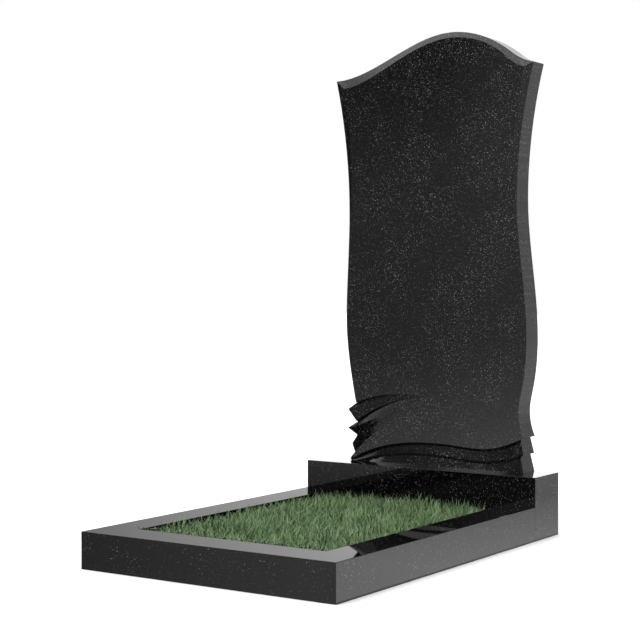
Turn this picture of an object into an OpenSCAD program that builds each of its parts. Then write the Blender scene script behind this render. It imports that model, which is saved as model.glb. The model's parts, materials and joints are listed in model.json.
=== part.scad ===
// Headstone set: a carved slab on a plinth, with a three-bar kerb around a turf bed.
// Millimetres. X is side to side, the front faces -Y, Z is up, ground level is Z = 0.
// The origin is under the middle of the set's footprint.

/* [Plinth] */
// Width of the plinth, and of the kerb in front of it
set_width = 600; // [480:1:900]
// Depth of the plinth, front to back
plinth_depth = 117; // [90:1:220]
// Height of the plinth above the ground
plinth_height = 139.5; // [90:0.5:250]

/* [Kerb] */
// Height of the three kerb bars
kerb_height = 75; // [40:1:150]
// Width of the left and right bars, seen from above
rail_width = 76; // [50:1:120]
// Width of the front bar, seen from above
front_width = 84; // [50:1:140]
// Length of the kerb, from its front face to the plinth
kerb_length = 787; // [500:1:1600]

/* [Turf] */
// Height of the turf bed that fills the kerb
turf_height = 50; // [20:1:70]
// Gap between the turf bed and the stone around it
turf_gap = 0.5; // [0:0.1:10]

/* [Slab] */
// Height of the slab, from the plinth to the crest
slab_height = 994.5; // [800:0.5:1300]
// Width of the slab, ear to ear
slab_width = 520; // [420:1:600]
// Thickness of the slab
slab_thickness = 58; // [45:1:110]

/* [Slab top] */
// How far the crest stands to the right of the middle
crest_offset = 50; // [-80:1:80]
// Drop from the crest to the left ear
left_ear_drop = 90; // [40:1:160]
// Drop from the crest to the right ear
right_ear_drop = 82.5; // [40:0.5:160]
// Distance in from the right ear to the steepest point of the right shoulder
shoulder_inset = 55; // [30:1:90]
// Drop from the crest to the steepest point of the right shoulder
shoulder_drop = 56.5; // [30:0.5:80]
// Fall of the top edge at that point, mm per mm
shoulder_fall = 0.78; // [0.4:0.01:1.2]
// Fall of the top edge where it meets the right ear, mm per mm
right_ear_fall = 0.2; // [0:0.01:0.5]

/* [Slab sides] */
// Height of the left waist above the plinth
left_waist_height = 570; // [500:1:680]
// Left waist, in from the ear line
left_waist_inset = 40.5; // [10:0.5:80]
// Height of the left hip above the plinth
left_hip_height = 340; // [280:1:420]
// Left hip, in from the ear line
left_hip_inset = 33; // [5:0.5:60]
// Height of the right waist above the plinth
right_waist_height = 615; // [500:1:700]
// Right waist, in from the ear line
right_waist_inset = 37.5; // [10:0.5:80]
// Height of the right hip above the plinth
right_hip_height = 300; // [260:1:420]
// Right hip, in from the ear line
right_hip_inset = 12; // [0:0.5:60]
// Height of the right calf, where the side turns in
right_calf_height = 190; // [165:1:230]
// Right calf, in from the ear line
right_calf_inset = 22; // [5:0.5:60]
// Lean of the side at the calf, mm per mm
calf_lean = 0.2; // [0:0.01:0.5]
// Height of the right ankle, the narrowest point over the hem
right_ankle_height = 135; // [110:1:155]
// Right ankle, in from the ear line
right_ankle_inset = 31; // [5:0.5:60]

/* [Bevel] */
// Depth of the bevel, front to back
bevel_depth = 7; // [2:0.5:20]
// Width of the bevel beside the left ear
bevel_left_side = 24.5; // [5:0.5:40]
// Width of the bevel beside the right ear
bevel_right_side = 21; // [5:0.5:40]
// Height of the bevel under the left ear
bevel_left = 20; // [5:0.5:40]
// Height of the bevel under the crest
bevel_crest = 13.3; // [5:0.1:40]
// Height of the bevel under the right ear
bevel_right = 10; // [4:0.5:40]
// Height above the plinth where the side bevels run out
bevel_end = 525; // [480:1:640]

/* [Gathered cloth] */
// How far left of the middle the pleats run together
gather_offset = 20; // [0:1:80]
// Height of the point where the pleats run together
gather_height = 159.5; // [140:0.5:180]
// Spacing of the pleat lines where they run together
gather_pitch = 1.3; // [0.8:0.1:3]
// Height of the top pleat line at the left side
pleat_height = 138; // [125:0.5:150]
// Height of the second pleat line at the left side
crease_height = 94.6; // [90:0.1:100]
// Height of the third pleat line at the left side
ridge_height = 77; // [70:0.5:84]
// Height of the lowest pleat line at the left side
drape_height = 9.5; // [6:0.5:16]
// Pleat notches, in from the ear line
notch_inset = 59.5; // [50:0.5:80]
// Pleat tips, in from the ear line
tip_inset = 36.5; // [25:0.5:45]
// Lowest pleat tip, in from the ear line
low_tip_inset = 42; // [30:0.5:50]
// Depth of the top pleat where it leaves the slab face
pleat_depth = 5; // [2:0.5:12]
// Depth of the second pleat under the first one
crease_depth = 8; // [2:0.5:14]
// Depth of the lowest pleat behind the cloth front
drape_depth = 20; // [8:0.5:24]
// Depth left at the pleat edges that stand forward
edge_depth = 0.8; // [0.4:0.1:3]

/* [Hem] */
// Height of the hem edge at its left end
hem_start = 2; // [1:0.5:6]
// Height of the hem edge at its rise
hem_rise = 53.6; // [45:0.1:65]
// How far right of the middle the rise stands
hem_rise_offset = 12; // [-40:1:40]
// Height of the hem edge at its dip
hem_dip = 47.2; // [40:0.1:52]
// How far right of the middle the dip stands
hem_dip_offset = 132; // [90:1:170]
// Height of the hem edge at its right tip
hem_tip = 78; // [70:1:90]
// Hem tips on the right side, in from the ear line
hem_tip_inset = 18.5; // [5:0.5:30]
// Notches between the hem layers on the right side, in from the ear line
hem_notch_inset = 29.5; // [20:0.5:45]
// Height of the lower layer's edge at its rise
layer_rise = 28; // [20:0.5:34]
// Height of the lower layer's edge at its dip
layer_dip = 19.6; // [14:0.1:26]
// Height of the lower layer's edge at its right tip
layer_tip = 40; // [34:0.5:46]
// Depth of a layer right under the edge above it
layer_setback = 8; // [4:0.5:12]
// Depth of a layer at its own lower edge
layer_edge_depth = 2.5; // [1:0.5:6]

/* [Hidden] */

stone = [0.13, 0.13, 0.14];
half_width = set_width / 2;
half_slab = slab_width / 2;
set_length = kerb_length + plinth_depth;
front_y = -set_length / 2;
plinth_y = front_y + kerb_length;
back_y = set_length / 2;
slab_y = back_y - slab_thickness;
core_depth = drape_depth + 2;
overlap = 2;
end_depth = 0.15;
wave_steps = 14;
side_steps = 10;
bevel_steps = 16;
pleat_steps = 12;

// Hermite curve between two values, with the slope at each end, over a run
function ease(a, b, sa, sb, run, t) =
    a * (1 - 3 * t * t + 2 * t * t * t)
    + b * (3 * t * t - 2 * t * t * t)
    + sa * run * (t - 2 * t * t + t * t * t)
    + sb * run * (t * t * t - t * t);

function mix(a, b, t) = a + (b - a) * t;

// A curve through knots [run, value, slope], read at one run
function knot_piece(k, s, i) =
    ease(k[i][1], k[i + 1][1], k[i][2], k[i + 1][2],
         k[i + 1][0] - k[i][0], (s - k[i][0]) / (k[i + 1][0] - k[i][0]));

function along(k, s, i = 0) =
    i + 2 >= len(k) || s <= k[i + 1][0] ? knot_piece(k, s, i) : along(k, s, i + 1);

// Evenly spaced runs inside each piece of a curve, the last knot left out
function knot_runs(k, steps) =
    [for (i = [0:len(k) - 2]) for (j = [0:steps - 1]) mix(k[i][0], k[i + 1][0], j / steps)];

function reverse(v) = [for (i = [len(v) - 1:-1:0]) v[i]];

function last(v) = v[len(v) - 1];

// Top edge, left ear to right ear: height above the plinth over X
left_ear = slab_height - left_ear_drop;
right_ear = slab_height - right_ear_drop;
top_knots = [
    [-half_slab, left_ear, 0],
    [crest_offset, slab_height, 0],
    [half_slab - shoulder_inset, slab_height - shoulder_drop, -shoulder_fall],
    [half_slab, right_ear, -right_ear_fall],
];
function top_at(x) = along(top_knots, x);

// Sides, bottom to top: distance from the middle over the height
left_waist = half_slab - left_waist_inset;
right_waist = half_slab - right_waist_inset;
left_knots = [
    [pleat_height, half_slab - notch_inset, 0.2],
    [left_hip_height, half_slab - left_hip_inset, 0],
    [left_waist_height, left_waist, 0],
    [left_ear, half_slab, 2 * left_waist_inset / (left_ear - left_waist_height)],
];
right_knots = [
    [hem_tip, half_slab - hem_tip_inset, -0.45],
    [right_ankle_height, half_slab - right_ankle_inset, 0],
    [right_calf_height, half_slab - right_calf_inset, calf_lean],
    [right_hip_height, half_slab - right_hip_inset, 0],
    [right_waist_height, right_waist, 0],
    [right_ear, half_slab, 2 * right_waist_inset / (right_ear - right_waist_height)],
];

// Outline points as [x, height]
left_runs = knot_runs(left_knots, side_steps);
right_runs = knot_runs(right_knots, side_steps);
top_runs = knot_runs(top_knots, wave_steps);
right_outer = [for (h = right_runs) [along(right_knots, h), h]];
left_outer = reverse([for (h = left_runs) [-along(left_knots, h), h]]);
top_outer = reverse(concat([for (x = top_runs) [x, top_at(x)]], [[half_slab, right_ear]]));

// Bevel path over the outline, clockwise from the left run-out to the right one.
// Each stop is [x, height, reach x, reach height, share of the full bevel].
function side_stop(knots, h, side, reach) =
    let (ear = last(knots)[0])
    [side * along(knots, h), h, side * reach[0], reach[1], (h - bevel_end) / (ear - bevel_end)];
function side_stops(knots, side, reach) =
    let (ear = last(knots)[0])
    [for (i = [-1:bevel_steps - 1])
        side_stop(knots, mix(bevel_end, ear, i / bevel_steps), side, reach)];
function top_stop(x) =
    let (left = x < crest_offset)
    let (ear_x = left ? -half_slab : half_slab, share = (x - crest_offset) / (ear_x - crest_offset))
    let (side = left ? -bevel_left_side : bevel_right_side, drop = left ? bevel_left : bevel_right)
    [x, top_at(x), side * pow(share, 3), mix(bevel_crest, drop, share), 1];
bevel_path = concat(
    side_stops(left_knots, -1, [bevel_left_side, bevel_left]),
    [for (x = top_runs) top_stop(x)],
    [top_stop(half_slab)],
    reverse(side_stops(right_knots, 1, [bevel_right_side, bevel_right])));

// Hem edges, left to right: height over X
base_x = half_slab - low_tip_inset;
hem_left = -base_x + 2;
hem_right = half_slab - hem_tip_inset;
hem_notch = half_slab - hem_notch_inset;
hem_knots = [
    [hem_left, hem_start, 0.58],
    [hem_rise_offset, hem_rise, 0],
    [hem_dip_offset, hem_dip, 0],
    [hem_right, hem_tip, 0.5],
];
layer_left = hem_left + 20;
layer_end = hem_right - 1.5;
base_end = hem_right - 1;
layer_tuck = 1.5;
layer_knots = [
    [layer_left, 0, 0.38],
    [hem_rise_offset - 17, layer_rise, 0],
    [hem_dip_offset, layer_dip, 0],
    [hem_right, layer_tip, 0.3],
];
hem_runs = knot_runs(hem_knots, side_steps);
hem_line = [for (x = hem_runs) [x, along(hem_knots, x)]];

// Pleat lines, from the left side to the gather: [start x, start height, slopes, place in the gather]
gather_x = -gather_offset;
notch_x = -(half_slab - notch_inset);
tip_x = -(half_slab - tip_inset);
low_tip_x = -(half_slab - low_tip_inset);
drape_x = low_tip_x + 5;
pleat_line = [notch_x, pleat_height, 0.42, -0.1, 0];
crease_line = [notch_x, crease_height, 0.62, 0.02, 1];
ridge_line = [tip_x, ridge_height, 0.2, 0.3, 2];
drape_line = [drape_x, drape_height, 1.1, 0.7, 3];
function share_at(line, x) = (x - line[0]) / (gather_x - line[0]);
function height_at(line, x) =
    ease(line[1], gather_height - line[4] * gather_pitch, line[2], line[3],
         gather_x - line[0], share_at(line, x));
function line_point(line, t) =
    let (x = mix(line[0], gather_x, t))
    [x, height_at(line, x)];

// Tips and notches the pleats end in on the left side
upper_tip_share = 0.38;
upper_tip = [tip_x, mix(pleat_height, crease_height, upper_tip_share)];
notch_share = 0.37;
low_tip_share = 0.53;
function between_lines(x, share) = mix(height_at(ridge_line, x), height_at(drape_line, x), share);
middle_notch = [notch_x, between_lines(notch_x, notch_share)];
lower_tip = [low_tip_x, between_lines(low_tip_x, low_tip_share)];
pleat_ts = [for (i = [0:pleat_steps]) i / pleat_steps];

// Whole outline of the slab, anticlockwise seen from the front
base_line = [[low_tip_x, 0], [base_end, 0]];
right_steps = [
    [hem_notch, along(layer_knots, hem_notch) + layer_tuck],
    [layer_end, along(layer_knots, layer_end)],
    [hem_notch, along(hem_knots, hem_notch) + layer_tuck],
];
left_steps = [[notch_x, pleat_height], upper_tip, [notch_x, crease_height], [tip_x, ridge_height],
              middle_notch, lower_tip, [drape_x, drape_height]];
slab_outline = concat(base_line, right_steps, right_outer, top_outer,
                      [for (i = [0:len(left_outer) - 2]) left_outer[i]], left_steps);

// Front panel: the slab face above the pleats, joined to the cloth front below them
pleat_edge = [for (t = pleat_ts) line_point(pleat_line, t)];
drape_edge = reverse([for (t = pleat_ts) line_point(drape_line, t)]);
panel_outline = concat(hem_line, right_outer, top_outer,
                     [for (i = [0:len(left_outer) - 2]) left_outer[i]], pleat_edge, drape_edge);

// Puts an [x, height] point on the slab at a depth behind its front face
function on_slab(p, depth) = [p[0], slab_y + depth, plinth_height + p[1]];

// Solid through rings of points. Rings run anticlockwise seen from the first ring.
module skin(rings) {
    n = len(rings[0]);
    m = len(rings);
    points = [for (r = rings) for (p = r) p];
    walls = [
        for (k = [0:m - 2]) for (i = [0:n - 1]) for (half = [0, 1])
            let (a = k * n + i, b = k * n + (i + 1) % n)
            half == 0 ? [a, b, b + n] : [a, b + n, a + n]
    ];
    first_cap = [[for (i = [n - 1:-1:0]) i]];
    last_cap = [[for (i = [0:n - 1]) (m - 1) * n + i]];
    polyhedron(points = points, faces = concat(walls, first_cap, last_cap), convexity = 8);
}

// Flat outline stood up on the plinth, between two depths of the slab
module upright(points, near, far) {
    translate([0, slab_y + far, plinth_height])
    rotate([90, 0, 0])
    linear_extrude(height = far - near)
    polygon(points);
}

// Wedge that takes the bevel off the front corner of the outline
function bevel_ring(stop) =
    let (reach = [stop[2], bevel_depth, stop[3]])
    let (outer = [stop[0], slab_y + stop[4] * bevel_depth, plinth_height + stop[1]])
    let (near = outer - (stop[4] + 0.25) * reach, far = outer + 0.35 * reach)
    [near, [far[0], near[1], far[2]], far];

module bevel() {
    skin([for (stop = bevel_path) bevel_ring(stop)]);
}

// Strip of stone between a low and a high point per ring, each as [x, height, depth]
function strip_ring(low, high) = [
    on_slab(low, core_depth + overlap),
    on_slab(low, low[2]),
    on_slab(high, high[2]),
    on_slab(high, core_depth + overlap),
];

function at_depth(p, depth) = [p[0], p[1], depth];
function fade(depth, power, t) = end_depth + depth * pow(1 - t, power);

// A line point moved into the stone beside it, by nothing at the left side
function tucked(p, way, t) = [p[0], p[1] + way * overlap * min(1, 4 * t)];

// Strips that follow pleat lines, given low to high for every t
module pleat(lines) {
    for (k = [0:len(lines[0]) - 2])
        skin([for (line = lines) strip_ring(line[k], line[k + 1])]);
}

module top_pleat() {
    pleat([
        for (t = pleat_ts)
            let (high = line_point(pleat_line, t), low = line_point(crease_line, t))
            let (edge = fade(edge_depth, 1, t), back = fade(pleat_depth, 1, t))
            let (fold = [mix(upper_tip[0], gather_x, t), mix(high[1], low[1], upper_tip_share)])
            [at_depth(low, edge), at_depth(fold, mix(back, edge, 0.7)), at_depth(tucked(high, 1, t), back)]
    ]);
}

module middle_pleat() {
    pleat([
        for (t = pleat_ts)
            [at_depth(line_point(ridge_line, t), fade(edge_depth, 1, t)),
             at_depth(line_point(crease_line, t), fade(crease_depth, 0.8, t))]
    ]);
}

// Point of the lowest pleat on a line that starts at a given x, a share of the way down
function low_pleat_point(start_x, share, t) =
    let (x = mix(start_x, gather_x, t))
    let (edge = fade(edge_depth, 1, share_at(ridge_line, x)))
    let (back = fade(drape_depth, 3, max(0, share_at(drape_line, x))))
    [x, between_lines(x, share), mix(edge, back, share)];

module low_pleat() {
    pleat([
        for (t = pleat_ts)
            [at_depth(tucked(line_point(drape_line, t), -1, t), fade(drape_depth, 3, t)),
             low_pleat_point(low_tip_x, low_tip_share, t),
             low_pleat_point(notch_x, notch_share, t),
             at_depth(line_point(ridge_line, t), fade(edge_depth, 1, t))]
    ]);
}

// Cloth layer between an upper edge line and a lower one, its foot standing forward
module layer(high, low) {
    skin([
        for (i = [0:len(high) - 1])
            strip_ring(at_depth(low[i], layer_edge_depth), at_depth(high[i], layer_setback))
    ]);
}

layer_ts = [for (i = [0:3 * side_steps]) i / (3 * side_steps)];
upper_layer_high = [
    for (t = layer_ts)
        let (x = mix(hem_left, hem_notch, t))
        [x, along(hem_knots, x) + layer_tuck]
];
upper_layer_low = [
    for (t = layer_ts)
        let (x = mix(hem_left, layer_end, t))
        [x, x < layer_left ? 0 : along(layer_knots, x)]
];
lower_layer_high = [
    for (t = layer_ts)
        let (x = mix(layer_left + layer_tuck, hem_notch, t))
        [x, along(layer_knots, x) + layer_tuck]
];
lower_layer_low = [for (t = layer_ts) [mix(layer_left + layer_tuck, base_end, t), 0]];

module plinth() {
    color(stone)
    translate([-half_width, plinth_y, 0])
    cube([set_width, plinth_depth, plinth_height]);
}

module slab() {
    color(stone) {
        upright(slab_outline, core_depth, slab_thickness);
        difference() {
            upright(panel_outline, 0, core_depth);
            bevel();
        }
        top_pleat();
        middle_pleat();
        low_pleat();
        layer(upper_layer_high, upper_layer_low);
        layer(lower_layer_high, lower_layer_low);
    }
}

// Kerb bars, mitred where they meet at the front corners
module bar(points) {
    color(stone)
    linear_extrude(height = kerb_height)
    polygon(points);
}

module kerb_front() {
    bar([[-half_width, front_y], [half_width, front_y],
         [half_width - rail_width, front_y + front_width],
         [-half_width + rail_width, front_y + front_width]]);
}

function side_bar(side) = [
    [side * half_width, front_y],
    [side * half_width, plinth_y],
    [side * (half_width - rail_width), plinth_y],
    [side * (half_width - rail_width), front_y + front_width],
];

module kerb_left() {
    bar(side_bar(-1));
}

module kerb_right() {
    bar(side_bar(1));
}

module turf() {
    color([0.30, 0.42, 0.18])
    translate([-half_width + rail_width + turf_gap, front_y + front_width + turf_gap, 0])
    cube([set_width - 2 * (rail_width + turf_gap), kerb_length - front_width - 2 * turf_gap, turf_height]);
}

plinth();
slab();
kerb_front();
kerb_left();
kerb_right();
turf();
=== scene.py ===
"""Looks of a polished black granite headstone on a plinth, with a kerbed bed of grass."""

import json
import math

import bmesh
import bpy
import numpy as np
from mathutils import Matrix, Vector, noise

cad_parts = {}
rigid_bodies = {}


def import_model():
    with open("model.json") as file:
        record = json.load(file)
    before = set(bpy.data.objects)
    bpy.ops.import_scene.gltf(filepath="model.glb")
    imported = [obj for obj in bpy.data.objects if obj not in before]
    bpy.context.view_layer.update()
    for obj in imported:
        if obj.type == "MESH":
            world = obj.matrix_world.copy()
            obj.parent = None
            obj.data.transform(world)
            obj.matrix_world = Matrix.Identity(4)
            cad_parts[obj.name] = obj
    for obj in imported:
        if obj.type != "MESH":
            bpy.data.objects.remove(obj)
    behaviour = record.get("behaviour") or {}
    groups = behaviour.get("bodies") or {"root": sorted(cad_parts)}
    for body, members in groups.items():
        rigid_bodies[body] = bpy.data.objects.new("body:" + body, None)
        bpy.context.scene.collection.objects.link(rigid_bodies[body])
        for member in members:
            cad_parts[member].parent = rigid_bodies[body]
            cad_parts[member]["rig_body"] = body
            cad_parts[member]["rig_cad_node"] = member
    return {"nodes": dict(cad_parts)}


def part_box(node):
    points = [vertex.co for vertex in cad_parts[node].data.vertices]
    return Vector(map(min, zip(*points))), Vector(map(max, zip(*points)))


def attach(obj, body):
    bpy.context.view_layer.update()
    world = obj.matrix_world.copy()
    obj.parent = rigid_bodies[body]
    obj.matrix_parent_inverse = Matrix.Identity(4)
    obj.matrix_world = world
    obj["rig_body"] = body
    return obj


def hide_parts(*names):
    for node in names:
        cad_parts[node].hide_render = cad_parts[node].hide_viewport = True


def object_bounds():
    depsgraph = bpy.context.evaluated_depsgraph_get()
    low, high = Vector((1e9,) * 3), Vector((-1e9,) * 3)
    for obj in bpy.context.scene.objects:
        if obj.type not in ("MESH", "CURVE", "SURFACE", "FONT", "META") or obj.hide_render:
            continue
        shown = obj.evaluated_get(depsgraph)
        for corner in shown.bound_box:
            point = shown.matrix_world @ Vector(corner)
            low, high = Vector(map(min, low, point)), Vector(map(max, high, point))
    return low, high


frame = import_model()
cad_low, cad_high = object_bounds()

MM = 0.001

# Stone: its arrises, and the carved foot of the slab
ARRIS = 0.9 * MM
ARRIS_ANGLE = math.radians(35)
SMOOTH_ANGLE = math.radians(9)
FLAT_ANGLE = math.radians(0.05)
WELD = 0.001 * MM
CARVING_TOP = 175 * MM
HEM_TOP = 100 * MM
HEM_SETBACK = 7.6 * MM
HEM_PLAY = 1.1 * MM
HEM_UNDERCUT = 6.5 * MM
HEM_START = 40 * MM
HEM_RUN = 60 * MM
HEM_STEPS = 20
UNDERSIDE = -0.6
ALONG = 0.99

# Granite: grains to a metre, the bright share of them, and how wide a speck is in its grain
CRYSTAL_GRAINS = 450
CRYSTAL_SHARE = 0.2
CRYSTAL_WIDTH = 0.36
SALT_GRAINS = 760
SALT_SHARE = 0.28
SALT_WIDTH = 0.44
SALT_LIGHT = 0.45
RAIL_RICHNESS = 0.2
PLINTH_RICHNESS = 0.4
SLAB_RICHNESS = 0.9
BLOCK_SHIFT = (1.7, 0.9, 2.3)

# Soil: how deep it lies, and its lumps, broad and fine, with how many there are to a metre
SOIL_DEPTH = 36 * MM
SOIL_LUMP = 3 * MM
BROAD_LUMPS = 9
BROAD_SHARE = 0.8
FINE_LUMPS = 60
FINE_SHARE = 0.45
SOIL_CUTS = 70
SOIL_MARGIN = 0.4 * MM
SOIL_SMOOTH = math.radians(50)

# Grass: where it stands, how it thins out, and how its blades differ
GRASS_SEED = 11
GRASS_PATCHES = 4
BLADE_PITCH = 3.7 * MM
BLADE_MARGIN = 1.5 * MM
BLADE_SINK = 2 * MM
BLADE_LEAN = 14
BLADE_SPREAD = 0.14
BLADE_DRIFTS = 13
BLADE_SMALLEST = 0.6
BLADE_LARGEST = 1.3
BLADE_ROOT = 0.34
BLADE_BEND = 0.36
BEND_BOW = 0.4
BEND_TAPER = 0.62
TIP_TAPER = 0.1
BLADE_GIRTH = 0.58
BLADE_FLATNESS = 0.3
RIM_PLAY = 0.5 * MM
DRY_SHARE = 0.035
LEAST_DRY = 0.4
MOST_DRY = 0.9
THIN_AT_PLINTH = 50 * MM
PLINTH_SHARE = 0.25
THIN_AT_CORNER = 60 * MM
BARE_CORNER = 0.6

# Wisps: the long blades near the front that droop over the rail
WISP_NEAR = 6 * MM
WISP_FAR = 14 * MM
WISP_SHARE = 0.3
WISP_SMALLEST = 0.98
WISP_LARGEST = 1.12
WISP_SWING = 0.45
WISP_TONE = 0.55

# Studio
FLOOR_SIZE = 40
FLOOR_DROP = 0.2 * MM
CARD_PLACE = Vector((cad_high.x + 0.65, 0.05, cad_low.z + 0.1 * MM))
CARD_WIDTH = 1.28
CARD_LENGTH = 2.1
CARD_LIGHT = 0.72
CEILING_LIGHT = 2.2
BACKDROP_LIGHT = 1.9
KEY_PLACE = (-3, -4, 5)
KEY_FROM = Vector((-0.55, -0.75, 0.9))
KEY_POWER = 1.7
KEY_SOFTNESS = math.radians(35)
CAMERA_PLACE = (1.774, -2.691, 0.568)
CAMERA_DIP = 1.47
CAMERA_TURN = 33.96
CAMERA_LENS = 86.6
CAMERA_SENSOR = 36
CAMERA_REACH = 100


def deselect():
    """Nothing is selected and nothing is in edit mode."""
    if bpy.context.object and bpy.context.object.mode == "EDIT":
        bpy.ops.object.mode_set(mode="OBJECT")
    bpy.ops.object.select_all(action="DESELECT")


def pick(piece):
    """Only this piece is selected and active."""
    deselect()
    piece.select_set(True)
    bpy.context.view_layer.objects.active = piece


def select_where(piece, test):
    """In edit mode, selects the vertices that pass a test on their place."""
    mesh = bmesh.from_edit_mesh(piece.data)
    for vertex in mesh.verts:
        vertex.select = test(vertex.co)
    mesh.select_flush(True)
    mesh.select_flush(False)
    bmesh.update_edit_mesh(piece.data)


# Node wiring


def wire(tree, kind, inputs=None, **settings):
    """Adds a node, with its settings, and its inputs as numbers or as links."""
    made = tree.nodes.new(kind)
    for name, value in settings.items():
        setattr(made, name, value)
    for name, value in (inputs or {}).items():
        if isinstance(value, bpy.types.NodeSocket):
            tree.links.new(value, made.inputs[name])
        else:
            made.inputs[name].default_value = value
    return made


def sums(tree, operation, first, second, clamp=False):
    """One Math node's result."""
    inputs = {0: first, 1: second}
    node = wire(tree, "ShaderNodeMath", inputs, operation=operation, use_clamp=clamp)
    return node.outputs[0]


def times(tree, *factors):
    """The product of several values."""
    product = factors[0]
    for factor in factors[1:]:
        product = sums(tree, "MULTIPLY", product, factor)
    return product


def without(tree, share):
    """What is left of one after a share is taken off."""
    return sums(tree, "SUBTRACT", 1.0, share)


def between(tree, share, first, second):
    """The first value, turning into the second as the share grows."""
    return wire(tree, "ShaderNodeMix", {0: share, 2: first, 3: second}).outputs[0]


def span(tree, value, low, high, out_low=0.0, out_high=1.0, smooth=True):
    """A value between two limits, spread over an output range and held at its ends."""
    inputs = {0: value, 1: low, 2: high, 3: out_low, 4: out_high}
    kind = "SMOOTHSTEP" if smooth else "LINEAR"
    node = wire(tree, "ShaderNodeMapRange", inputs, interpolation_type=kind)
    return node.outputs[0]


def ramp(tree, value, stops):
    """Colours along a value from 0 to 1."""
    node = wire(tree, "ShaderNodeValToRGB", {0: value})
    elements = node.color_ramp.elements
    while len(elements) < len(stops):
        elements.new(0.5)
    for element, (place, colour) in zip(elements, stops):
        element.position = place
        element.color = (*colour, 1)
    return node.outputs[0]


def blend_colours(tree, amount, first, second, kind="MIX"):
    """Two colours mixed by an amount."""
    node = wire(tree, "ShaderNodeMix", data_type="RGBA", blend_type=kind)
    for index, value in ((0, amount), (6, first), (7, second)):
        if isinstance(value, bpy.types.NodeSocket):
            tree.links.new(value, node.inputs[index])
        elif index:
            node.inputs[index].default_value = (*value, 1)
        else:
            node.inputs[index].default_value = value
    return node.outputs[2]


def new_finish(name):
    """An empty node material: its tree, its shader and its object coordinates."""
    finish = bpy.data.materials.new(name)
    finish.use_nodes = True
    tree = finish.node_tree
    tree.nodes.clear()
    shader = wire(tree, "ShaderNodeBsdfPrincipled")
    out = wire(tree, "ShaderNodeOutputMaterial")
    tree.links.new(shader.outputs[0], out.inputs[0])
    coordinates = wire(tree, "ShaderNodeTexCoord").outputs["Object"]
    return finish, tree, shader, coordinates


# Finishes


def fleck(tree, place, scale, rarity, width):
    """Round specks of crystal, one to a grain: most grains stay dark, and a few are bright."""
    grain = wire(tree, "ShaderNodeTexVoronoi", {"Vector": place, "Scale": scale})
    chance = wire(tree, "ShaderNodeSeparateColor", {0: grain.outputs["Color"]}).outputs[0]
    bright = span(tree, chance, rarity, 1.0, smooth=False)
    speck = span(tree, grain.outputs["Distance"], width * 0.5, width, 1.0, 0.0)
    return times(tree, bright, speck)


def polished_granite(name, block, richness=RAIL_RICHNESS):
    """Black granite, polished: pale flecks of feldspar in drifts. Each block has its own grain."""
    finish, tree, shader, coordinates = new_finish(name)
    shift = [block * part for part in BLOCK_SHIFT]
    moved = {"Vector": coordinates, "Location": shift}
    place = wire(tree, "ShaderNodeMapping", moved).outputs[0]
    drift = wire(
        tree,
        "ShaderNodeTexNoise",
        {"Vector": place, "Scale": 11, "Detail": 5, "Roughness": 0.62},
    ).outputs[0]
    drift = span(tree, drift, 0.36, 0.62, 0.3, 1.0)
    rarity = 1 - CRYSTAL_SHARE * richness
    crystals = fleck(tree, place, CRYSTAL_GRAINS, rarity, CRYSTAL_WIDTH)
    rarity = 1 - SALT_SHARE * richness
    salt = fleck(tree, place, SALT_GRAINS, rarity, SALT_WIDTH)
    salt = times(tree, salt, SALT_LIGHT)
    flecks = sums(tree, "ADD", crystals, salt)
    flecks = sums(tree, "MULTIPLY", flecks, drift, clamp=True)
    mottle = wire(
        tree,
        "ShaderNodeTexNoise",
        {"Vector": place, "Scale": 240, "Detail": 3, "Roughness": 0.6},
    ).outputs[0]
    ground = ramp(
        tree, mottle, ((0.35, (0.0003, 0.0003, 0.0003)), (0.7, (0.002, 0.002, 0.0021)))
    )
    colour = blend_colours(tree, flecks, ground, (0.4, 0.405, 0.405))
    tree.links.new(colour, shader.inputs["Base Color"])
    gloss = span(tree, mottle, 0.3, 0.75, 0.008, 0.022)
    tree.links.new(gloss, shader.inputs["Roughness"])
    relief = wire(
        tree,
        "ShaderNodeBump",
        {"Height": mottle, "Strength": 0.02, "Distance": 0.0002},
    ).outputs[0]
    tree.links.new(relief, shader.inputs["Normal"])
    shader.inputs["IOR"].default_value = 1.5
    return finish


def crumbly_soil():
    """Dark moist soil in crumbs, painted darker in the low gaps between them as shade."""
    finish, tree, shader, place = new_finish("crumbly_soil")
    crumbs = wire(tree, "ShaderNodeTexVoronoi", {"Vector": place, "Scale": 210})
    clods = wire(
        tree,
        "ShaderNodeTexNoise",
        {"Vector": place, "Scale": 45, "Detail": 6, "Roughness": 0.7},
    ).outputs[0]
    height = sums(tree, "SUBTRACT", clods, crumbs.outputs["Distance"])
    # Painted shade: the colour follows the height, darkest in the low gaps between crumbs and paler on
    # their tops.
    colour = ramp(
        tree,
        height,
        ((0.0, (0.008, 0.006, 0.004)), (0.3, (0.026, 0.019, 0.012)), (0.7, (0.06, 0.045, 0.03))),
    )
    tree.links.new(colour, shader.inputs["Base Color"])
    relief = wire(
        tree, "ShaderNodeBump", {"Height": height, "Strength": 0.8, "Distance": 0.002}
    ).outputs[0]
    tree.links.new(relief, shader.inputs["Normal"])
    shader.inputs["Roughness"].default_value = 0.9
    return finish


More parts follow.
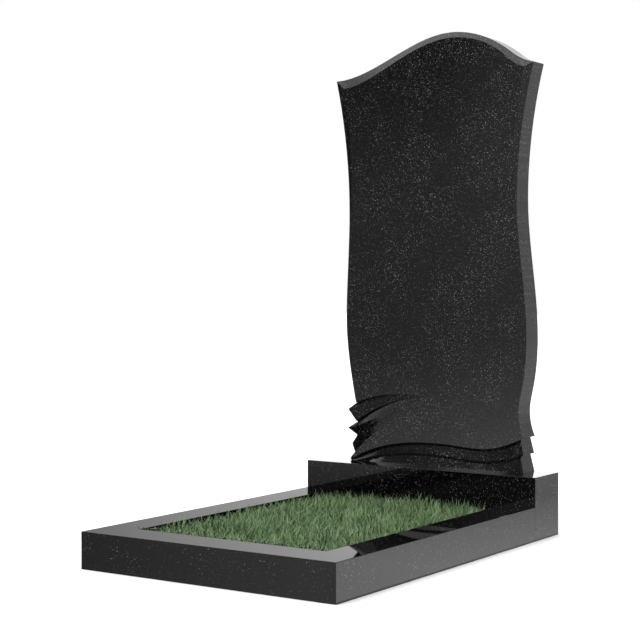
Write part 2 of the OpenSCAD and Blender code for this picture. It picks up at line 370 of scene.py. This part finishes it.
def grass_green():
    """Fresh grass, dark at the root as painted shade among the blades and pale at the tip, with a tone
    for each blade.
    """
    finish, tree, shader, place = new_finish("grass_green")
    blade = wire(tree, "ShaderNodeAttribute", attribute_name="blade_tone")
    parts = wire(tree, "ShaderNodeSeparateColor", {0: blade.outputs["Color"]})
    tone, rise, dryness = parts.outputs
    # Painted shade: near black at the root, where the blades shade each other, rising to pale green at
    # the tip.
    fresh_with_root_shade = ramp(
        tree,
        rise,
        (
            (0.0, (0.006, 0.012, 0.004)),
            (0.4, (0.032, 0.058, 0.02)),
            (0.75, (0.13, 0.205, 0.085)),
            (1.0, (0.27, 0.38, 0.2)),
        ),
    )
    deep = blend_colours(tree, 0.8, fresh_with_root_shade, (0.3, 0.48, 0.34), "MULTIPLY")
    green = blend_colours(tree, tone, deep, fresh_with_root_shade)
    colour = blend_colours(tree, dryness, green, (0.26, 0.25, 0.13))
    patch = wire(
        tree, "ShaderNodeTexNoise", {"Vector": place, "Scale": 14, "Detail": 2}
    ).outputs[0]
    shade = span(tree, patch, 0.3, 0.7, 0.8, 1.15)
    shaded = wire(
        tree, "ShaderNodeHueSaturation", {"Value": shade, "Color": colour}
    ).outputs[0]
    tree.links.new(shaded, shader.inputs["Base Color"])
    shader.inputs["Roughness"].default_value = 0.5
    shader.inputs["Specular IOR Level"].default_value = 0.3
    return finish


def pale_floor_paint():
    """A plain pale studio floor."""
    finish, tree, shader, place = new_finish("pale_floor_paint")
    grain = wire(
        tree, "ShaderNodeTexNoise", {"Vector": place, "Scale": 3, "Detail": 2}
    ).outputs[0]
    colour = ramp(tree, grain, ((0.3, (0.79, 0.79, 0.79)), (0.7, (0.81, 0.81, 0.81))))
    tree.links.new(colour, shader.inputs["Base Color"])
    shader.inputs["Roughness"].default_value = 0.8
    return finish


# Pieces


def copy_stone(node, name):
    """A copy of a CAD stone, welded, with its flat faces made whole."""
    pick(frame["nodes"][node])
    bpy.ops.object.duplicate()
    stone = bpy.context.object
    stone.name = name
    stone.data.name = name
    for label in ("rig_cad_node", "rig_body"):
        if label in stone:
            del stone[label]
    bpy.ops.object.parent_clear(type="CLEAR_KEEP_TRANSFORM")
    bpy.ops.mesh.customdata_custom_splitnormals_clear()
    bpy.ops.object.mode_set(mode="EDIT")
    bpy.ops.mesh.select_all(action="SELECT")
    bpy.ops.mesh.remove_doubles(threshold=WELD)
    bpy.ops.mesh.dissolve_limited(angle_limit=FLAT_ANGLE)
    bpy.ops.object.mode_set(mode="OBJECT")
    return stone


def ease_edges(stone, test):
    """Takes a fine arris off the sharp edges that pass a test on their two ends."""
    pick(stone)
    bpy.ops.object.mode_set(mode="EDIT")
    bpy.ops.mesh.select_mode(type="EDGE")
    bpy.ops.mesh.select_all(action="DESELECT")
    mesh = bmesh.from_edit_mesh(stone.data)
    for edge in mesh.edges:
        sharp = edge.is_manifold and edge.calc_face_angle(0) > ARRIS_ANGLE
        if sharp and test(edge.verts[0].co, edge.verts[1].co):
            edge.select = True
    bmesh.update_edit_mesh(stone.data)
    bpy.ops.mesh.bevel(offset=ARRIS, segments=2, affect="EDGES", clamp_overlap=True)
    bpy.ops.mesh.select_mode(type="VERT")
    bpy.ops.object.mode_set(mode="OBJECT")


def finish_stone(stone, node, finish):
    """Polishes a stone: curves shade smoothly, flat faces stay flat."""
    pick(stone)
    bpy.ops.object.shade_smooth_by_angle(angle=SMOOTH_ANGLE)
    level = stone.modifiers.new("level", "WEIGHTED_NORMAL")
    level.keep_sharp = True
    level.weight = 100
    bpy.ops.object.modifier_apply(modifier="level")
    stone.data.materials.clear()
    stone.data.materials.append(finish)
    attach(stone, "root")
    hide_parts(node)


def dress_plinth():
    """The plinth, with an arris on all its edges."""
    stone = copy_stone("plinth", "plinth_stone")
    ease_edges(stone, lambda first, second: True)
    finish_stone(stone, "plinth", polished_granite("granite_of_plinth", 0, PLINTH_RICHNESS))


def dress_rail(side, axis, block):
    """A kerb rail, with an arris along its length. Its ends stay sharp for tight joints."""
    node = f"kerb_{side}"

    def lengthwise(first, second):
        return abs((second - first).normalized()[axis]) > ALONG

    stone = copy_stone(node, f"kerb_{side}_rail")
    ease_edges(stone, lengthwise)
    finish_stone(stone, node, polished_granite(f"granite_of_{side}_rail", block))


def slant_hems(stone):
    """Slants the underside of each hem down into the slab, and lets it die out at the left."""
    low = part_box("slab")[0]
    groove = low.y + HEM_SETBACK
    pick(stone)
    bpy.ops.object.mode_set(mode="EDIT")
    inner = set()
    for face in bmesh.from_edit_mesh(stone.data).faces:
        middle = face.calc_center_median()
        below = middle.z < low.z + HEM_TOP and middle.y < groove + HEM_PLAY
        if face.normal.z < UNDERSIDE and below:
            for vertex in face.verts:
                if abs(vertex.co.y - groove) < HEM_PLAY:
                    inner.add(vertex.index)
    bpy.ops.mesh.select_mode(type="VERT")
    for step in range(HEM_STEPS):
        start = low.x + HEM_START + step * HEM_RUN / HEM_STEPS
        mesh = bmesh.from_edit_mesh(stone.data)
        for vertex in mesh.verts:
            vertex.select = vertex.index in inner and vertex.co.x > start
        mesh.select_flush(True)
        bmesh.update_edit_mesh(stone.data)
        bpy.ops.transform.translate(value=(0, 0, -HEM_UNDERCUT / HEM_STEPS))
    bpy.ops.mesh.select_more()
    bpy.ops.mesh.quads_convert_to_tris()
    bpy.ops.object.mode_set(mode="OBJECT")


def dress_slab():
    """The slab, with an arris round its back and round its front above the carving."""
    low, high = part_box("slab")
    top = low.z + CARVING_TOP
    back = high.y - WELD

    def clear(first, second):
        return min(first.z, second.z) > top or min(first.y, second.y) > back

    stone = copy_stone("slab", "carved_slab")
    slant_hems(stone)
    ease_edges(stone, clear)
    finish_stone(stone, "slab", polished_granite("granite_of_slab", 1, SLAB_RICHNESS))


def lumps(x, y):
    """How far the soil rises or sinks at a place."""
    broad = noise.noise(Vector((x * BROAD_LUMPS, y * BROAD_LUMPS, 2.5)))
    fine = noise.noise(Vector((x * FINE_LUMPS, y * FINE_LUMPS, 7.5)))
    return SOIL_LUMP * (BROAD_SHARE * broad + FINE_SHARE * fine)


def lay_soil():
    """The bed of soil: a block whose top is broken into soft lumps."""
    low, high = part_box("turf")
    size = high - low
    deselect()
    middle = ((low.x + high.x) / 2, (low.y + high.y) / 2, low.z + SOIL_DEPTH / 2)
    bpy.ops.mesh.primitive_cube_add(size=1, location=middle)
    soil = bpy.context.object
    soil.name = "soil_bed"
    soil.data.name = "soil_bed"
    soil.scale = (size.x - 2 * SOIL_MARGIN, size.y - 2 * SOIL_MARGIN, SOIL_DEPTH)
    bpy.ops.object.transform_apply(location=True, rotation=True, scale=True)
    top = low.z + SOIL_DEPTH - WELD
    bpy.ops.object.mode_set(mode="EDIT")
    select_where(soil, lambda place: place.z > top)
    bpy.ops.mesh.subdivide(number_cuts=SOIL_CUTS)
    bpy.ops.object.mode_set(mode="OBJECT")
    for vertex in soil.data.vertices:
        if vertex.co.z > top:
            vertex.co.z += lumps(vertex.co.x, vertex.co.y)
    bpy.ops.object.shade_smooth_by_angle(angle=SOIL_SMOOTH)
    soil.data.materials.append(crumbly_soil())
    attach(soil, "root")
    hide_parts("turf")


def grow_blade(height, width, bow, tip_rise=0.3):
    """One blade of grass at the origin: a flat three-sided spike that bows forward."""
    deselect()
    first = height * BLADE_ROOT
    radius = width * BLADE_GIRTH
    middle = (0, 0, first / 2)
    bpy.ops.mesh.primitive_cylinder_add(vertices=3, radius=radius, depth=first, location=middle)
    blade = bpy.context.object
    bpy.ops.object.transform_apply(location=True, rotation=True, scale=True)
    bpy.ops.object.mode_set(mode="EDIT")
    bpy.ops.mesh.select_all(action="SELECT")
    bpy.ops.transform.resize(value=(1, BLADE_FLATNESS, 1), center_override=(0, 0, 0))
    select_where(blade, lambda place: place.z > first * 0.9)
    reach, level = 0.0, first
    bend = (BLADE_BEND, BEND_BOW, BEND_TAPER)
    tip = (tip_rise, 1.0, TIP_TAPER)
    for share, forward, taper in (bend, tip):
        reach += bow * forward
        level += height * share
        step = (0, bow * forward, height * share)
        bpy.ops.mesh.extrude_region_move(TRANSFORM_OT_translate={"value": step})
        bpy.ops.transform.resize(value=(taper, taper, 1), center_override=(0, reach, level))
    bpy.ops.mesh.merge(type="CENTER")
    bpy.ops.mesh.select_all(action="SELECT")
    bpy.ops.mesh.quads_convert_to_tris()
    bpy.ops.mesh.normals_make_consistent(inside=False)
    bpy.ops.object.mode_set(mode="OBJECT")
    points = np.array([tuple(vertex.co) for vertex in blade.data.vertices])
    faces = np.array([tuple(face.vertices) for face in blade.data.polygons])
    bpy.data.objects.remove(blade)
    return points, faces


def plant_spots(chance):
    """Where the blades stand: a jittered grid, thinner by the plinth and in the far right corner."""
    low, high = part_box("turf")
    spots = []
    x = low.x + BLADE_MARGIN
    while x < high.x - BLADE_MARGIN:
        y = low.y + BLADE_MARGIN
        while y < high.y - BLADE_MARGIN:
            jitter = chance.uniform(-0.5, 0.5, 2) * BLADE_PITCH
            px = min(max(x + jitter[0], low.x + BLADE_MARGIN), high.x - BLADE_MARGIN)
            py = min(max(y + jitter[1], low.y + BLADE_MARGIN), high.y - BLADE_MARGIN)
            to_plinth = (high.y - py) / THIN_AT_PLINTH
            to_corner = math.hypot(high.x - px, high.y - py) / THIN_AT_CORNER
            share = min(1.0, PLINTH_SHARE + to_plinth, to_corner - BARE_CORNER)
            if chance.random() < share:
                spots.append((px, py))
            y += BLADE_PITCH
        x += BLADE_PITCH
    return np.array(spots)


def draw_lots(spots, last, chance):
    """Draws each blade's kind, size, turn, lean, tone and dryness.

    A few near the front become wisps. They are the last kind of blade.
    """
    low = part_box("turf")[0]
    count = len(spots)
    kinds = chance.integers(0, last, count)
    turn = chance.uniform(0, 2 * math.pi, count)
    lean = np.radians(np.abs(chance.normal(0, BLADE_LEAN, count)))
    grain = spots * BLADE_DRIFTS
    drift = np.array([noise.noise(Vector((x, y, 4.0))) for x, y in grain])
    size = chance.normal(1.0, BLADE_SPREAD, count).clip(BLADE_SMALLEST, BLADE_LARGEST)
    size = (1 + BLADE_SPREAD * drift) * size
    inward = spots[:, 1] - low.y
    near = (inward > WISP_NEAR) & (inward < WISP_FAR)
    wispy = near & (chance.random(count) < WISP_SHARE)
    kinds = np.where(wispy, last, kinds)
    size = np.where(wispy, chance.uniform(WISP_SMALLEST, WISP_LARGEST, count), size)
    turn = np.where(wispy, math.pi + chance.normal(0, WISP_SWING, count), turn)
    lean = np.where(wispy, 0.0, lean)
    tone = chance.uniform(0, 1, count)
    dries = chance.random(count) < DRY_SHARE
    dry = np.where(dries, chance.uniform(LEAST_DRY, MOST_DRY, count), 0.0)
    return kinds, size, turn, lean, tone, dry


def turned(first, second, angle):
    """Two coordinates of many blades, turned by each blade's own angle."""
    cosine, sine = np.cos(angle)[:, None], np.sin(angle)[:, None]
    return first * cosine - second * sine, first * sine + second * cosine


def stand_blades(points, spots, size, turn, lean):
    """Copies of one model blade, sized, leant, turned and set in the soil at their spots."""
    low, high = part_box("turf")
    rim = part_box("kerb_front")[1].z + RIM_PLAY
    scaled = points[None, :, :] * size[:, None, None]
    z, y = turned(scaled[:, :, 2], scaled[:, :, 1], lean)
    px, py = turned(scaled[:, :, 0], y, turn)
    px = px + spots[:, 0][:, None]
    py = py + spots[:, 1][:, None]
    ground = np.array([lumps(*spot) for spot in spots]) + SOIL_DEPTH + low.z
    pz = z + ground[:, None] - BLADE_SINK
    within = pz < rim
    px = np.where(within, px.clip(low.x + SOIL_MARGIN, high.x - SOIL_MARGIN), px)
    py = np.where(within, py.clip(low.y + SOIL_MARGIN, high.y - SOIL_MARGIN), py)
    return np.stack([px, py, pz], axis=2).reshape(-1, 3)


def plant_grass(name, spots, blades, chance, finish):
    """One patch of grass: copies of the model blades, each a little different."""
    last = len(blades) - 1
    kinds, size, turn, lean, tone, dry = draw_lots(spots, last, chance)
    all_points, all_faces, all_tones = [], [], []
    start = 0
    for kind, (points, faces) in enumerate(blades):
        mine = np.where(kinds == kind)[0]
        count = len(mine)
        stood = stand_blades(points, spots[mine], size[mine], turn[mine], lean[mine])
        all_points.append(stood)
        offsets = (np.arange(count) * len(points) + start)[:, None, None]
        all_faces.append((faces[None, :, :] + offsets).reshape(-1, 3))
        rise = points[:, 2] / points[:, 2].max()
        if kind == last:
            rise = rise * WISP_TONE
        tones = np.ones((count, len(points), 4), np.float32)
        tones[:, :, 0] = tone[mine, None]
        tones[:, :, 1] = rise[None, :]
        tones[:, :, 2] = dry[mine, None]
        all_tones.append(tones.reshape(-1, 4))
        start += count * len(points)
    mesh = bpy.data.meshes.new(name)
    mesh.from_pydata(np.concatenate(all_points), [], np.concatenate(all_faces))
    label = mesh.color_attributes.new("blade_tone", "FLOAT_COLOR", "POINT")
    label.data.foreach_set("color", np.concatenate(all_tones).ravel())
    mesh.materials.append(finish)
    patch = bpy.data.objects.new(name, mesh)
    bpy.context.scene.collection.objects.link(patch)
    patch.visible_glossy = False
    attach(patch, "root")
    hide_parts("turf")


def grow_grass():
    """The whole bed of grass, in patches from front to back. The last kind of blade is the wisp."""
    chance = np.random.default_rng(GRASS_SEED)
    finish = grass_green()
    blades = [
        grow_blade(36 * MM, 1.9 * MM, 4 * MM),
        grow_blade(41 * MM, 1.8 * MM, 8 * MM),
        grow_blade(33 * MM, 2.2 * MM, 10 * MM),
        grow_blade(44 * MM, 1.7 * MM, 5 * MM),
        grow_blade(28 * MM, 2.0 * MM, 12 * MM),
        grow_blade(39 * MM, 1.8 * MM, 15 * MM),
        grow_blade(62 * MM, 3.6 * MM, 26 * MM, 0.02),
    ]
    spots = plant_spots(chance)
    spots = spots[np.argsort(spots[:, 1], kind="stable")]
    for number, share in enumerate(np.array_split(spots, GRASS_PATCHES)):
        plant_grass(f"grass_patch_{number + 1}", share, blades, chance, finish)


# Studio


def lay_floor():
    """A wide pale floor. The stones mirror the studio round them instead of the floor."""
    deselect()
    bpy.ops.mesh.primitive_plane_add(size=FLOOR_SIZE, location=(0, 0, cad_low.z - FLOOR_DROP))
    floor = bpy.context.object
    floor.name = "floor"
    floor.data.materials.append(pale_floor_paint())
    floor.visible_glossy = False


def shade_front(tree, x, z):
    """The wall that the front faces mirror: dark at its foot, light above it, and dimmer higher up."""
    to_right = span(tree, x, -0.5, -0.44)
    foot = span(tree, z, -0.4, -0.3, 0.04, 1.0)
    low = span(tree, z, -0.13, -0.03, 0.95, 0.41)
    low = times(tree, low, span(tree, x, -0.5, -0.44, 1.0, 1.25))
    lowered = sums(tree, "SUBTRACT", z, times(tree, to_right, 0.06))
    high = span(tree, lowered, 0.03, 0.19, 1.0, 0.22)
    high = sums(tree, "ADD", high, span(tree, z, 0.16, 0.2, 0.0, 0.4))
    inwards = sums(tree, "ADD", x, span(tree, z, -0.17, -0.15, 0.0, 0.05))
    dim_patch = span(tree, inwards, -0.55, -0.515)
    dim_patch = times(tree, dim_patch, span(tree, z, -0.105, -0.13, 0.0, 0.42))
    return times(tree, low, high, foot, without(tree, dim_patch))


def shade_left(tree, x, y, z, is_front):
    """The left wall, with the front wall's zones in it, and a bright low backdrop behind."""
    wall = span(tree, x, -0.74, -0.48, 0.15, 0.98, smooth=False)
    wall = times(tree, wall, between(tree, is_front, 1.0, shade_front(tree, x, z)))
    behind = span(tree, y, 0.2, 0.45, 0.0, 1.0)
    backdrop = times(tree, span(tree, z, 0.126, 0.133, 1.0, 0.0), behind)
    return between(tree, backdrop, wall, BACKDROP_LIGHT)


def shade_ceiling(tree, x, z, is_front):
    """How much of the ceiling shows. A screen at the front hides a part, and the wall shows there."""
    far_left = span(tree, x, -0.5, -0.75, 0.12, 0.22)
    slope = sums(tree, "ADD", z, times(tree, far_left, is_front))
    ceiling = span(tree, slope, 0.3, 0.85, smooth=False)
    aside = sums(tree, "ADD", x, times(tree, z, 1.2))
    screen = times(tree, span(tree, aside, -0.31, -0.293), span(tree, z, 0.58, 0.46))
    screen = times(tree, screen, is_front)
    return times(tree, ceiling, without(tree, screen))


def light_studio():
    """The room that the polish mirrors, by direction: walls in zones under a bright ceiling.

    The camera itself sees plain white behind the stones.
    """
    world = bpy.data.worlds.new("studio")
    bpy.context.scene.world = world
    world.use_nodes = True
    tree = world.node_tree
    tree.nodes.clear()
    way = wire(tree, "ShaderNodeTexCoord").outputs["Generated"]
    x, y, z = wire(tree, "ShaderNodeSeparateXYZ", {0: way}).outputs
    is_front = span(tree, y, -0.3, 0.1, 1.0, 0.0)
    is_right = span(tree, x, -0.2, 0.25, 0.0, 1.0)
    left = shade_left(tree, x, y, z, is_front)
    right = span(tree, z, -0.12, 0.14, 0.74, 0.6)
    walls = between(tree, is_right, left, right)
    ceiling = shade_ceiling(tree, x, z, is_front)
    room = between(tree, ceiling, walls, CEILING_LIGHT)
    seen = wire(tree, "ShaderNodeLightPath").outputs["Is Camera Ray"]
    strength = between(tree, seen, room, 1.0)
    glow = {"Color": (1, 1, 1, 1), "Strength": strength}
    back = wire(tree, "ShaderNodeBackground", glow)
    out = wire(tree, "ShaderNodeOutputWorld")
    tree.links.new(back.outputs[0], out.inputs[0])


def lay_reflector():
    """A white card on the floor at the right, seen only in the polish, dimmer to its back and side."""
    deselect()
    bpy.ops.mesh.primitive_plane_add(size=1, location=CARD_PLACE)
    card = bpy.context.object
    card.name = "reflector"
    card.scale = (CARD_WIDTH, CARD_LENGTH, 1)
    bpy.ops.object.transform_apply(location=True, rotation=True, scale=True)
    glow = bpy.data.materials.new("reflector_card")
    glow.use_nodes = True
    tree = glow.node_tree
    tree.nodes.clear()
    place = wire(tree, "ShaderNodeTexCoord").outputs["Object"]
    x, y = wire(tree, "ShaderNodeSeparateXYZ", {0: place}).outputs[:2]
    along = span(tree, y, -0.05, 1.05, 0.85, 0.0, smooth=False)
    across = span(tree, x, 0.45, 1.1, 1.0, 0.0)
    strength = sums(tree, "ADD", times(tree, along, across), CARD_LIGHT)
    light = wire(tree, "ShaderNodeEmission", {"Strength": strength})
    out = wire(tree, "ShaderNodeOutputMaterial")
    tree.links.new(light.outputs[0], out.inputs[0])
    card.data.materials.append(glow)
    card.visible_camera = False
    card.visible_diffuse = False
    card.visible_shadow = False


def hang_key_light():
    """A broad soft light high to the front left, which the polish doesn't mirror."""
    deselect()
    turn = KEY_FROM.to_track_quat("Z", "Y").to_euler()
    bpy.ops.object.light_add(type="SUN", location=KEY_PLACE, rotation=turn)
    key = bpy.context.object
    key.name = "key_light"
    key.data.energy = KEY_POWER
    key.data.angle = KEY_SOFTNESS
    key.visible_glossy = False


def set_camera():
    """Low and to the right, looking along the bed to the slab."""
    tilt = math.radians(90 - CAMERA_DIP)
    turn = math.radians(CAMERA_TURN)
    bpy.ops.object.camera_add(location=CAMERA_PLACE, rotation=(tilt, 0, turn))
    camera = bpy.context.object
    camera.data.lens = CAMERA_LENS
    camera.data.sensor_width = CAMERA_SENSOR
    camera.data.clip_end = CAMERA_REACH
    bpy.context.scene.camera = camera


dress_plinth()
dress_slab()
dress_rail("front", 0, 2)
dress_rail("left", 1, 3)
dress_rail("right", 1, 4)
lay_soil()
grow_grass()
deselect()
lay_floor()
lay_reflector()
light_studio()
hang_key_light()
set_camera()
bpy.context.scene.view_settings.view_transform = "Standard"
